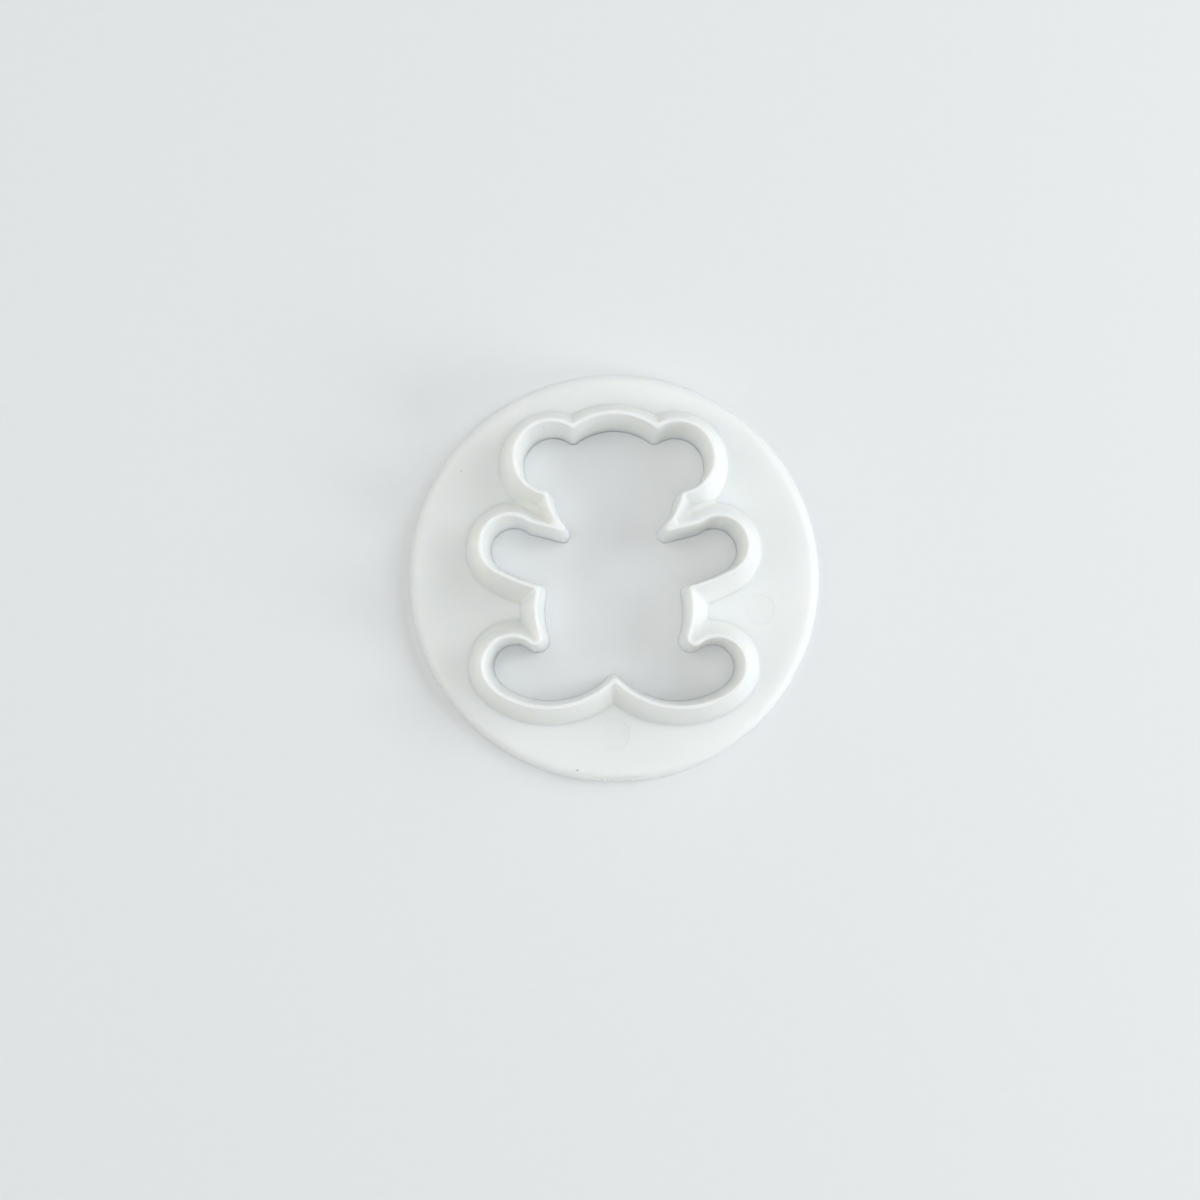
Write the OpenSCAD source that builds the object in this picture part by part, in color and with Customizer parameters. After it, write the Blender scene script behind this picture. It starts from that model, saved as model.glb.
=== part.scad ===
// Flanged push cutter with a bear outline, one plastic moulding.
// The flange lies flat on the table and the cutting wall stands up from it.
// The origin is at the centre of the flange's underside. +Z points to the
// cutting rim and +Y to the top of the bear's head.
// The bear outline is the inner edge of the rim. It is a closed chain of
// circular lobes. Where two lobes cross, a ball rolled into the notch rounds
// the wall's tip, and where they touch, one runs into the other.

/* [Flange] */
// Diameter of the round flange
flange_d = 60.7; // [54:0.1:80]
// Thickness of the flange
flange_t = 2.6; // [1.6:0.1:5]
// Radius of the rounded upper edge of the flange
flange_edge_r = 1.6; // [0.4:0.1:1.6]
// Width of the flat where the moulding gate was cut off
gate_flat_w = 6.8; // [3:0.1:10]
// Diameter of the round marks left by the ejector pins
ejector_mark_d = 4.4; // [3:0.1:5]
// Depth of the ejector marks
ejector_mark_depth = 0.08; // [0.04:0.01:0.2]
// Place of the ejector mark beside the body, from the flange's centre
side_mark_at = [21.4, -5];
// Place of the ejector mark below the feet, from the flange's centre
low_mark_at = [0, -23.2];

/* [Cutting wall] */
// Height of the cutting rim above the flange
wall_h = 6.9; // [4:0.1:14]
// Width of the rim's flat land
rim_w = 0.6; // [0.4:0.05:0.75]
// How far the wall's outer side spreads between the rim and its root
outer_spread = 2.1; // [1.2:0.1:2.2]
// Radius of the fillet between the wall and the flange
root_r = 0.5; // [0.3:0.1:0.6]
// How far the opening closes in between the rim and the underside
inner_draft = 0.7; // [0.2:0.05:0.9]
// Radius of the rounded tips that the wall points into the opening
tip_r = 0.45; // [0.3:0.05:0.6]
// Radius of the valleys on the wall's outer side
valley_r = 0.5; // [0.3:0.05:0.8]

/* [Bear outline] */
// Place of the head's centre above the flange's centre
head_y = 12.95;
// Radius of the head
head_r = 9.72; // [9.3:0.02:10]
// Place of an ear's centre
ear_at = [9.08, 16.5];
// Radius of an ear
ear_r = 5.07; // [4.6:0.05:5.4]
// Place of the body's centre
body_y = -5.2;
// Radius of the body
body_r = 10.95; // [10.6:0.05:11.2]
// Centre of the round end of an arm
arm_at = [14.9, 3.9];
// Radius of the round end of an arm
arm_r = 4.05; // [3.8:0.05:4.3]
// How far the arm's upper edge lies from the centre of its round end
arm_half_w = 3.62; // [3.4:0.02:3.8]
// Slope of the arm's upper edge
arm_slope = 13; // [10:0.5:18]
// Radius of the hollow where the upper edge runs into the round end
arm_ease_r = 1.5; // [1:0.1:2.5]
// Radius of the arm's lower edge
arm_under_r = 27; // [20:1:40]
// Direction from the round end's centre in which the lower edge touches it
arm_under_a = -62; // [-66:1:-58]
// Radius of the blunt tips between the body and the feet
hip_tip_r = 1.15; // [0.8:0.05:1.2]
// Centre of the sole of a foot
sole_at = [9.4, -6.1];
// Radius of the sole
sole_r = 12.9; // [12.6:0.05:13.2]
// Radius of the heel, which the sole runs into
heel_r = 6; // [5.5:0.1:6.5]
// Direction from the sole's centre in which the heel starts
heel_a = -60; // [-64:1:-56]
// Radius of the round end of a foot
foot_r = 3.9; // [3.7:0.05:4.1]
// Direction from the heel's centre in which the round end starts
foot_a = -35; // [-40:1:-30]
// Slope of the foot's upper edge beside the body
foot_slope = 35; // [30:1:36]
// How far the foot's upper edge lies from the centre of its round end
foot_half_w = 3.86; // [3.8:0.01:3.88]
// Radius of the hollow where the upper edge runs into the round end
foot_ease_r = 1.5; // [1:0.1:2.5]

/* [Hidden] */

rim_z = flange_t + wall_h;
flange_r = flange_d / 2;
// A straight edge is a lobe of this radius
straight_r = 150;
// Longest facet along the outline, and longest turn of one facet
facet_len = 1.4;
facet_turn = 20;
// An arc that comes out shorter than this, in millimetre degrees, is lost
least_arc = 10;
// Steps up the wall's outer side, and round the root fillet
wall_steps = 4;
root_steps = 3;
// Facets round the flange, the full circle of its edge and an ejector mark
disc_facets = 144;
edge_facets = 24;
mark_facets = 36;
// How far a cut runs past the face it opens
past = 1;

function dir(a) = [cos(a), sin(a)];
function angle_of(v) = atan2(v[1], v[0]);
function at(lobe) = [lobe[0], lobe[1]];
// Angle a, brought to within half a turn of b
function near(a, b) = b + ((a - b + 180) % 360 + 360) % 360 - 180;

// A lobe is [x, y, radius]. An edge lobe is straight: it passes the point p
// in the direction a, with the opening on its right.
function edge(p, a) = concat(p + straight_r * dir(a - 90), [straight_r]);
// The lobe of radius r that touches the given one from the inside at a
function touching(lobe, r, a) = concat(at(lobe) + (lobe[2] - r) * dir(a), [r]);

// Centre of the ball of radius r that rests in the notch between two lobes
// that have grown by o. Going round clockwise, the ball is on the left.
function ball(p, q, r, o) =
  let (a = p[2] + o + r, b = q[2] + o + r, pq = at(q) - at(p), d = norm(pq),
       along = (d * d + a * a - b * b) / (2 * d),
       up = sqrt(max(a * a - along * along, 0)), u = pq / d)
  at(p) + along * u + up * [-u[1], u[0]];

head = [0, head_y, head_r];
ear = concat(ear_at, [ear_r]);
body = [0, body_y, body_r];
arm = concat(arm_at, [arm_r]);
arm_top = edge(arm_at + arm_half_w * dir(arm_slope + 90), arm_slope);
arm_under = touching(arm, arm_under_r, arm_under_a);
sole = concat(sole_at, [sole_r]);
heel = touching(sole, heel_r, heel_a);
foot = touching(heel, foot_r, foot_a);
foot_top = edge(at(foot) + foot_half_w * dir(foot_slope + 90), foot_slope);
far_sole = [-sole[0], sole[1], sole[2]];

// An arc is [centre, radius, start angle, end angle]. A lobe's arc goes round
// clockwise, and a ball's the other way.
function towards(lobe, c) = angle_of(c - at(lobe));
function lobe_arc(lobe, o, a, b) = [at(lobe), lobe[2] + o, a, near(b, a - 90)];
function ball_arc(c, r, p, q) =
  let (a = angle_of(at(p) - c)) [c, r, a, near(angle_of(at(q) - c), a + 90)];
function pieces(a, number) =
  let (turn = (a[3] - a[2]) / number)
  [for (i = [0 : number - 1]) [a[0], a[1], a[2] + turn * i, a[2] + turn * (i + 1)]];
// A ball's radius, or more where two lobes stand too far apart for it
function room(p, q, r, o) = max(r, (norm(at(q) - at(p)) - p[2] - q[2]) / 2 - o + 0.02);
// Arcs along a chain of lobes: the ball in each notch, with its own radius,
// and each inner lobe's own arc. Further out on the wall the inner lobes are
// lost one by one, and a single ball then stands for the two beside the lost
// one. It is cut into as many pieces as there were arcs.
function passage(lobes, radii, o, numbers) =
  let (n = len(lobes) - 1,
       s = [for (i = [0 : n - 1]) room(lobes[i], lobes[i + 1], radii[i], o)],
       c = [for (i = [0 : n - 1]) ball(lobes[i], lobes[i + 1], s[i], o)],
       own = [for (i = [1 : 1 : n - 1]) lobe_arc(lobes[i], o, towards(lobes[i], c[i - 1]), towards(lobes[i], c[i]))],
       lengths = [for (a = own) (a[2] - a[3]) * a[1]],
       lost = n > 1 && min(lengths) < least_arc ? search(min(lengths), lengths)[0] + 1 : 0)
  lost > 0
    ? passage(
        [for (i = [0 : n]) if (i != lost) lobes[i]],
        [for (i = [0 : n - 1]) if (i != lost) i == lost - 1 ? min(radii[i], radii[lost]) : radii[i]],
        o,
        [for (i = [0 : n - 1]) if (i != lost) i == lost - 1 ? numbers[i] + numbers[lost] + 1 : numbers[i]])
    : [for (i = [0 : n - 1]) each concat(
        pieces(ball_arc(c[i], s[i], lobes[i], lobes[i + 1]), numbers[i]), i < n - 1 ? [own[i]] : [])];

// The arcs of the right half, clockwise from the top of the head to the
// crotch, when every lobe has grown by o and the notches hold balls of radius
// r. The two hollows keep their centres as they grow.
function half_arcs(o, r) =
  let (crown = ball(head, ear, r, o), pit = ball(arm_under, body, r, o), crotch = ball(sole, far_sole, r, o),
       jaw = passage([ear, head, arm_top, arm], [r, r, max(r, arm_ease_r - o)], o, [1, 1, 1]),
       thigh = passage([body, foot_top, foot], [max(r, hip_tip_r - o), max(r, foot_ease_r - o)], o, [1, 1]))
  [
    lobe_arc(head, o, 90, towards(head, crown)),
    ball_arc(crown, r, head, ear),
    lobe_arc(ear, o, towards(ear, crown), towards(ear, jaw[0][0])),
    each jaw,
    lobe_arc(arm, o, towards(arm, jaw[4][0]), arm_under_a),
    lobe_arc(arm_under, o, arm_under_a, towards(arm_under, pit)),
    ball_arc(pit, r, arm_under, body),
    lobe_arc(body, o, towards(body, pit), towards(body, thigh[0][0])),
    each thigh,
    lobe_arc(foot, o, towards(foot, thigh[2][0]), foot_a),
    lobe_arc(heel, o, foot_a, heel_a),
    lobe_arc(sole, o, heel_a, towards(sole, crotch)),
    [crotch, r, angle_of(at(sole) - crotch), 90]
  ];

// Facets on each arc, the same on every level so that the levels join up
function facets(a) =
  let (turn = abs(a[3] - a[2]))
  max(2, ceil(turn * PI / 180 * a[1] / facet_len), ceil(turn / facet_turn));
counts = [for (a = half_arcs(0, tip_r)) facets(a)];

// The whole outline as points, clockwise, with the left half mirrored
function half_points(arcs) = [
  for (i = [0 : len(arcs) - 1], j = [0 : counts[i] - 1])
    let (a = arcs[i]) a[0] + a[1] * dir(a[2] + (a[3] - a[2]) * j / counts[i])
];
function outline(o, r) =
  let (arcs = half_arcs(o, r), h = half_points(arcs), last = arcs[len(arcs) - 1])
  concat(h, [last[0] + [0, last[1]]], [for (i = [len(h) - 1 : -1 : 1]) [-h[i][0], h[i][1]]]);

// A cap is cut into triangles. Each facet makes one with a point that sees
// it, near the centre of the head, an ear, an arm, the body or a foot. For each
// arc, this gives the point that sees its first half and the one for the rest.
sight = [
  [0, 0], [0, 1], [1, 1], [1, 0], [0, 0], [0, 2], [2, 2], [2, 2], [2, 2], [2, 2],
  [2, 3], [3, 3], [3, 4], [4, 4], [4, 4], [4, 4], [4, 4], [4, 4], [4, 4]
];
seen_from = [
  for (i = [0 : len(sight) - 1], j = [0 : counts[i] - 1]) sight[i][2 * j < counts[i] ? 0 : 1]
];
half = len(seen_from);
centres = [head_y * [0, 1] + [0.3, 0.2], ear_at + [0.3, 0.2], arm_at - [6, 2.6], [0.3, body_y + 0.2], at(foot) - [3.8, 1.3]];
mirrored_centres = [for (c = centres) [-c[0], c[1]]];

// Triangles of the right half of a cap, from the number of the outline's
// first point and the numbers of the five centres
function half_cap(point, c) = concat(
  [for (i = [0 : half - 1]) [c[seen_from[i]], point(i), point(i + 1)]],
  [for (i = [1 : half - 1]) if (seen_from[i] != seen_from[i - 1]) [c[seen_from[i - 1]], point(i), c[seen_from[i]]]],
  [[c[0], c[2], c[3]], [c[3], c[4], point(half)]]
);
function turned(faces) = [for (f = faces) [f[0], f[2], f[1]]];
function cap(first, hub) =
  let (n = 2 * half)
  concat(
    half_cap(function (i) first + i, [for (k = [0 : 4]) hub + k]),
    turned(half_cap(function (i) first + (n - i) % n, [hub, hub + 6, hub + 7, hub + 3, hub + 9]))
  );

// A solid through outlines of equal length, each [height, points], upwards
module loft(levels) {
  n = 2 * half;
  top = len(levels) - 1;
  hub = n * len(levels);
  hubs = [for (z = [levels[0][0], levels[top][0]], c = concat(centres, mirrored_centres)) [c[0], c[1], z]];
  sides = [
    for (l = [0 : top - 1], i = [0 : n - 1])
      let (j = (i + 1) % n, here = l * n, above = here + n)
      each [[here + i, here + j, above + j], [here + i, above + j, above + i]]
  ];
  polyhedron(
    points = concat([for (l = levels, p = l[1]) [p[0], p[1], l[0]]], hubs),
    faces = concat(sides, turned(cap(0, hub)), cap(top * n, hub + 10))
  );
}

// Growth of the opening at height z, where the rim's inner edge is zero
function opening_growth(z) = -inner_draft * (rim_z - z) / rim_z;
module opening() {
  loft([for (z = [-past, rim_z + past]) let (o = opening_growth(z)) [z, outline(o, tip_r - o)]]);
}

// Outside of the wall as [height, growth]: the root fillet, which starts a
// little below the flange's face so that the two join, and the rim's edge
root_x = rim_w + outer_spread + root_r;
function root_point(i) =
  let (p = dir(270 - 90 * i / root_steps)) [flange_t + root_r * (1 + p[1]), root_x + root_r * p[0]];
wall_foot = root_point(root_steps);
wall_profile = concat(
  [2 * root_point(0) - root_point(1)],
  [for (i = [1 : root_steps]) root_point(i)],
  [for (i = [1 : wall_steps]) wall_foot + ([rim_z, rim_w] - wall_foot) * i / wall_steps]
);
module wall_block() {
  loft([for (l = wall_profile) [l[0], outline(l[1], valley_r)]]);
}

module flange() {
  rotate_extrude($fn = disc_facets) {
    square([flange_r - flange_edge_r, flange_t]);
    square([flange_r, flange_t - flange_edge_r]);
    translate([flange_r - flange_edge_r, flange_t - flange_edge_r]) intersection() {
      circle(flange_edge_r, $fn = edge_facets);
      square(flange_edge_r);
    }
  }
}

// The gate left a flat on the flange's edge below the feet. Its depth comes
// from its width, as the chord of the flange's circle.
module gate_flat() {
  flat_y = sqrt(flange_r * flange_r - gate_flat_w * gate_flat_w / 4);
  translate([-gate_flat_w, -flat_y - flange_r, -past]) cube([2 * gate_flat_w, flange_r, flange_t + 2 * past]);
}

module ejector_mark(place) {
  translate([place[0], place[1], flange_t - ejector_mark_depth])
    cylinder(d = ejector_mark_d, h = past, $fn = mark_facets);
}

module cutter() color("white") difference() {
  union() {
    flange();
    wall_block();
  }
  opening();
  gate_flat();
  ejector_mark(side_mark_at);
  ejector_mark(low_mark_at);
}

cutter();
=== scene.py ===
# %% [markdown]
# Flanged pastry cutter with a bear outline, lying on a pale table.
# The real object is one moulding of slightly translucent white plastic. Its
# round flange lies flat, and a thin drafted wall stands up from it round an
# opening in the shape of a teddy bear. The CAD model is the frame: this script
# gives it a smoother surface, a finish, the table, the light and the camera.
# The CAD node could be dressed with modifiers, but its facets would stay, so
# the moulding is made again here from the same rule, with finer steps.
# The cutter's sizes are in millimetres, and MM turns them into Blender's
# metres. What stands round it, and what is set inside a node tree, is written
# in metres.

# %% Start
import math
import random
import bmesh
import bpy
from mathutils import Matrix, Vector
from mathutils.geometry import delaunay_2d_cdt


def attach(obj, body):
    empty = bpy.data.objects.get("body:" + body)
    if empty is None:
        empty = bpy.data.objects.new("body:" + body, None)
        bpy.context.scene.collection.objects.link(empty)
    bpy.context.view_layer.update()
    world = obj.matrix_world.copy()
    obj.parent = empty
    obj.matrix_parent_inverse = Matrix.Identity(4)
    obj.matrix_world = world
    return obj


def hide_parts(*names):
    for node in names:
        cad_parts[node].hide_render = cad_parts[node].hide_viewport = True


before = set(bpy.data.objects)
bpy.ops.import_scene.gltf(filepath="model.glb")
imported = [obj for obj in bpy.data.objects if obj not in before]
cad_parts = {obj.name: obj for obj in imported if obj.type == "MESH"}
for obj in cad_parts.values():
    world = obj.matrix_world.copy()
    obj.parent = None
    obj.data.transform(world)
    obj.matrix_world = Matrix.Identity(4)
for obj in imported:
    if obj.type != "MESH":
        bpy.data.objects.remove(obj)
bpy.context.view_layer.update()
scene = bpy.context.scene
MM = 0.001

# %% [markdown]
# The camera stands almost straight above the cutter, a little towards its
# lower edge. It could be moved by hand until the picture looks right. But a
# picture from above has one point where the line straight down meets it, and
# that point alone gives the camera's turn, so it is worked out instead.

# %% The camera's turn
PIXELS = 1200
FOCAL_PX = 1362.0
STRAIGHT_DOWN_PX = Vector((593.0, 700.0))


def from_middle(pixel):
    """The direction in which the camera sees a pixel, right, down and forward."""
    return Vector((pixel.x - PIXELS / 2, pixel.y - PIXELS / 2, FOCAL_PX))


def camera_rows():
    """The camera's directions right, down and forward, as rows."""
    upwards = -from_middle(STRAIGHT_DOWN_PX).normalized()
    across = Vector((1, 0, 0)) - upwards * upwards.x
    across.normalize()
    return Matrix((across, upwards.cross(across), upwards)).transposed()


rows = camera_rows()
print("camera looks along", [round(v, 3) for v in rows[2]])

# %% [markdown]
# The flange is a circle of a known size, and the picture shows how large it is
# and where its centre is. So the camera is put on the line through that
# centre, the circle is projected, and the camera's height is corrected by how
# large it came out. After a few rounds nothing changes any more.

# %% The camera's place
FLANGE_CENTRE_PX = Vector((614.0, 576.8))
FLANGE_RADIUS_PX = 204.2
FLANGE_RADIUS = 30.35
FLANGE_WIDEST_Z = 1.0
ROUNDS = 20
CIRCLE_STEPS = 64


def circle_in_picture(place):
    """The flange's radius as seen from a place, in pixels."""
    radius = FLANGE_RADIUS * MM
    seen = []
    for step in range(CIRCLE_STEPS):
        turn = 2 * math.pi * step / CIRCLE_STEPS
        point = Vector((math.cos(turn), math.sin(turn), 0)) * radius
        point.z = FLANGE_WIDEST_Z * MM
        view = rows @ (point - place)
        seen.append((FOCAL_PX * view.x / view.z, FOCAL_PX * view.y / view.z))
    width = max(p[0] for p in seen) - min(p[0] for p in seen)
    height = max(p[1] for p in seen) - min(p[1] for p in seen)
    return (width + height) / 4


def camera_place():
    """The place from which the flange has its centre and size in the picture."""
    widest = FLANGE_WIDEST_Z * MM
    ray = rows.transposed() @ from_middle(FLANGE_CENTRE_PX)
    place = Vector((0, 0, widest + FOCAL_PX * (FLANGE_RADIUS * MM) / FLANGE_RADIUS_PX))
    for _ in range(ROUNDS):
        drop = (widest - place.z) / ray.z
        place.x = -drop * ray.x
        place.y = -drop * ray.y
        seen = circle_in_picture(place)
        place.z = widest + (place.z - widest) * seen / FLANGE_RADIUS_PX
    return place


camera_at = camera_place()
print("camera at", [round(v / MM, 1) for v in camera_at], "mm")

# %% [markdown]
# Blender's camera looks along its own -Z with Y up, so the rows for down and
# forward change their signs. The lens follows from the focal length in pixels
# and the sensor's width.

# %% Camera
SENSOR_WIDTH = 36
CLIP_START = 0.01
camera_data = bpy.data.cameras.new("camera")
camera_data.sensor_fit = "HORIZONTAL"
camera_data.sensor_width = SENSOR_WIDTH
camera_data.lens = SENSOR_WIDTH * FOCAL_PX / PIXELS
camera_data.clip_start = CLIP_START
camera = bpy.data.objects.new("camera", camera_data)
camera_turn = Matrix((rows[0], -rows[1], -rows[2])).transposed().to_4x4()
camera.matrix_world = Matrix.Translation(camera_at) @ camera_turn
scene.collection.objects.link(camera)
scene.camera = camera
print("lens", round(camera_data.lens, 1), "mm")

# %% [markdown]
# The wall's outline is a chain of round lobes: head, ears, body, arms and
# feet. It could be drawn as one spline, but every level of the wall needs its
# own outline, and a spline that is grown folds over in the notches. So the
# bear is kept as circles, each given by its centre and its radius. Only the
# right side is written down, with slopes and turns in degrees.

# %% Sizes of the bear
HEAD = (0, 12.95, 9.72)
EAR = (9.08, 16.5, 5.07)
BODY = (0, -5.2, 10.95)
ARM = (14.9, 3.9, 4.05)
ARM_TOP_SLOPE = 13
ARM_HALF_WIDTH = 3.62
ARM_UNDER_RADIUS = 27
ARM_UNDER_TURN = -62
SOLE = (9.4, -6.1, 12.9)
HEEL_RADIUS = 6
HEEL_TURN = -60
FOOT_RADIUS = 3.9
FOOT_TURN = -35
FOOT_SLOPE = 35
FOOT_HALF_WIDTH = 3.86
print("head", 2 * HEAD[2], "mm wide, body", 2 * BODY[2], "mm wide")

# %% [markdown]
# The remaining lobes follow from these. A straight edge could be a line, but
# then every rule would be needed twice, for lines and for circles. So it is a
# circle too, with a very large radius. A lobe that flows into another one
# touches it from inside.

# %% Lobes that follow
STRAIGHT_RADIUS = 150


def direction(degrees):
    return Vector((math.cos(math.radians(degrees)), math.sin(math.radians(degrees))))


def centre(lobe):
    return Vector(lobe[:2])


def edge(lobe, half_width, slope):
    """A straight edge beside a lobe's centre, as a lobe so large that its arc is straight."""
    start = centre(lobe) + half_width * direction(slope + 90)
    middle = start + STRAIGHT_RADIUS * direction(slope - 90)
    return (middle.x, middle.y, STRAIGHT_RADIUS)


def touching(lobe, radius, turn):
    """A lobe that touches another one from inside, in the given direction."""
    middle = centre(lobe) + (lobe[2] - radius) * direction(turn)
    return (middle.x, middle.y, radius)


ARM_TOP = edge(ARM, ARM_HALF_WIDTH, ARM_TOP_SLOPE)
ARM_UNDER = touching(ARM, ARM_UNDER_RADIUS, ARM_UNDER_TURN)
HEEL = touching(SOLE, HEEL_RADIUS, HEEL_TURN)
FOOT = touching(HEEL, FOOT_RADIUS, FOOT_TURN)
FOOT_TOP = edge(FOOT, FOOT_HALF_WIDTH, FOOT_SLOPE)
FAR_SOLE = (-SOLE[0], SOLE[1], SOLE[2])
print("heel", [round(v, 1) for v in HEEL], "foot", [round(v, 1) for v in FOOT])

# %% [markdown]
# In each notch between two lobes the mould has a small rounded tip, cut by a
# round tool. A bevel on the finished mesh could round it, but it would fail
# where the notch closes. Here a small ball rests against both lobes, and its
# place follows from two distances, so it is exact at every level.

# %% Balls in the notches
TIP_RADIUS = 0.45


def angle_of(vector):
    return math.degrees(math.atan2(vector.y, vector.x))


def near(angle, other):
    """The angle, brought to within half a turn of the other."""
    return other + (angle - other + 180) % 360 - 180


def ball(one, other, radius, grown):
    """Centre of the ball that rests in the notch between two grown lobes."""
    a = one[2] + grown + radius
    b = other[2] + grown + radius
    line = centre(other) - centre(one)
    length = line.length
    along = (length * length + a * a - b * b) / (2 * length)
    up = math.sqrt(max(a * a - along * along, 0))
    unit = line / length
    return centre(one) + along * unit + up * Vector((-unit.y, unit.x))


notch = ball(HEAD, EAR, TIP_RADIUS, 0)
print("notch between head and ear at", round(notch.x, 2), round(notch.y, 2))

# %% [markdown]
# Lobes and balls are both kept as arcs: centre, radius, and the angles where
# they start and end. The outline runs clockwise, so a lobe's angle falls, and
# a ball lies on the outside of the bear, so its angle rises.

# %% Arcs
def towards(lobe, point):
    return angle_of(point - centre(lobe))


def lobe_arc(lobe, grown, start, end):
    return (centre(lobe), lobe[2] + grown, start, near(end, start - 90))


def ball_arc(middle, radius, one, other):
    start = angle_of(centre(one) - middle)
    return (middle, radius, start, near(angle_of(centre(other) - middle), start + 90))


def pieces(arc, number):
    """An arc cut into equal pieces."""
    middle, radius, start, end = arc
    turn = (end - start) / number
    return [(middle, radius, start + turn * i, start + turn * (i + 1)) for i in range(number)]


crown = lobe_arc(HEAD, 0, 90, towards(HEAD, notch))
print("the top of the head turns from", crown[2], "to", round(crown[3], 1), "degrees")

# %% [markdown]
# At the neck and the hip several short lobes follow each other. Lower down
# the wall they grow into one another, and the shortest one is swallowed first.
# A chain that kept all of them would fold. So the shortest lost lobe is left
# out, one ball takes its place, and that ball is cut into as many pieces as
# were there before. All levels then have the same number of points.

# %% Neck and hip
NECK_LOBES = [EAR, HEAD, ARM_TOP, ARM]
HIP_LOBES = [BODY, FOOT_TOP, FOOT]
ARM_EASE = 1.5
FOOT_EASE = 1.5
HIP_TIP_RADIUS = 1.15
LEAST_ARC = 2
ROOM_SPARE = 0.02


def room(one, other, radius, grown):
    """A ball's radius, or more where two lobes stand too far apart for it."""
    gap = (centre(other) - centre(one)).length - one[2] - other[2]
    return max(radius, gap / 2 - grown + ROOM_SPARE)


def passage(lobes, radii, grown, numbers=None):
    """Balls and inner lobes along a chain. Lost lobes leave one ball between their neighbours."""
    count = len(lobes) - 1
    numbers = numbers or [1] * count
    sizes = [room(lobes[i], lobes[i + 1], radii[i], grown) for i in range(count)]
    balls = [ball(lobes[i], lobes[i + 1], sizes[i], grown) for i in range(count)]
    own = []
    for i in range(1, count):
        lobe = lobes[i]
        own.append(lobe_arc(lobe, grown, towards(lobe, balls[i - 1]), towards(lobe, balls[i])))
    lengths = [(arc[2] - arc[3]) * arc[1] for arc in own]
    if own and min(lengths) < LEAST_ARC:
        lost = lengths.index(min(lengths)) + 1
        radii = radii[:lost - 1] + [min(radii[lost - 1:lost + 1])] + radii[lost + 1:]
        merged = numbers[lost - 1] + numbers[lost] + 1
        numbers = numbers[:lost - 1] + [merged] + numbers[lost + 1:]
        return passage(lobes[:lost] + lobes[lost + 1:], radii, grown, numbers)
    arcs = []
    for i in range(count):
        arcs += pieces(ball_arc(balls[i], sizes[i], lobes[i], lobes[i + 1]), numbers[i])
        arcs += own[i:i + 1]
    return arcs


neck = passage(NECK_LOBES, [TIP_RADIUS, TIP_RADIUS, ARM_EASE], 0)
print("arcs at the neck", len(neck))

# %% [markdown]
# The bear is alike on both sides, so one half is worked out and mirrored.
# Going clockwise from the top of the head, every lobe begins where the ball
# before it touches it and ends where the next one does.

# %% One side of the bear
def half_arcs(grown, radius):
    """Arcs from the top of the head clockwise to the crotch."""
    crown_ball = ball(HEAD, EAR, radius, grown)
    armpit = ball(ARM_UNDER, BODY, radius, grown)
    crotch = ball(SOLE, FAR_SOLE, radius, grown)
    arm_ease = max(radius, ARM_EASE - grown)
    foot_ease = max(radius, FOOT_EASE - grown)
    hip_tip = max(radius, HIP_TIP_RADIUS - grown)
    jaw = passage(NECK_LOBES, [radius, radius, arm_ease], grown)
    thigh = passage(HIP_LOBES, [hip_tip, foot_ease], grown)
    return [
        lobe_arc(HEAD, grown, 90, towards(HEAD, crown_ball)),
        ball_arc(crown_ball, radius, HEAD, EAR),
        lobe_arc(EAR, grown, towards(EAR, crown_ball), towards(EAR, jaw[0][0])),
        *jaw,
        lobe_arc(ARM, grown, towards(ARM, jaw[-1][0]), ARM_UNDER_TURN),
        lobe_arc(ARM_UNDER, grown, ARM_UNDER_TURN, towards(ARM_UNDER, armpit)),
        ball_arc(armpit, radius, ARM_UNDER, BODY),
        lobe_arc(BODY, grown, towards(BODY, armpit), towards(BODY, thigh[0][0])),
        *thigh,
        lobe_arc(FOOT, grown, towards(FOOT, thigh[-1][0]), FOOT_TURN),
        lobe_arc(HEEL, grown, FOOT_TURN, HEEL_TURN),
        lobe_arc(SOLE, grown, HEEL_TURN, towards(SOLE, crotch)),
        (crotch, radius, angle_of(centre(SOLE) - crotch), 90),
    ]


rim_arcs = half_arcs(0, TIP_RADIUS)
print("arcs on one side", len(rim_arcs))

# %% [markdown]
# Each arc is cut into short straight steps. How many could be chosen anew at
# each level, but then the levels would not match. So it is settled once, at
# the rim, and kept, and the levels can be skinned point to point.

# %% One level's outline
FACET = 0.35
FACET_TURN = 7
LEAST_FACETS = 3


def facets(arc):
    """How many straight steps an arc gets, by its length and by its turn."""
    turn = abs(arc[3] - arc[2])
    by_length = math.ceil(math.radians(turn) * arc[1] / FACET)
    return max(LEAST_FACETS, by_length, math.ceil(turn / FACET_TURN))


counts = [facets(arc) for arc in rim_arcs]


def outline(grown, radius):
    """The closed outline as points, the same number on every level."""
    arcs = half_arcs(grown, radius)
    half = []
    for (middle, size, start, end), number in zip(arcs, counts):
        for i in range(number):
            half.append(middle + size * direction(start + (end - start) * i / number))
    lowest = arcs[-1][0] + Vector((0, arcs[-1][1]))
    return half + [lowest] + [Vector((-p.x, p.y)) for p in reversed(half[1:])]


rim_outline = outline(0, TIP_RADIUS)
bear_height = max(p.y for p in rim_outline) - min(p.y for p in rim_outline)
print("points round the outline", len(rim_outline), "bear", round(bear_height, 1), "mm tall")

# %% [markdown]
# The wall cuts the dough with a rim only 0.6 mm wide. It is drafted on both
# sides, so that the moulding leaves its mould. An extrusion would have no
# draft, and a node tree that scales one outline can't let the balls come to
# rest anew or drop a lost lobe. So the wall is a stack of outlines worked out
# in Python. The first ones go up the inner side and over the rim, whose two
# edges are softly rounded.

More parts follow.
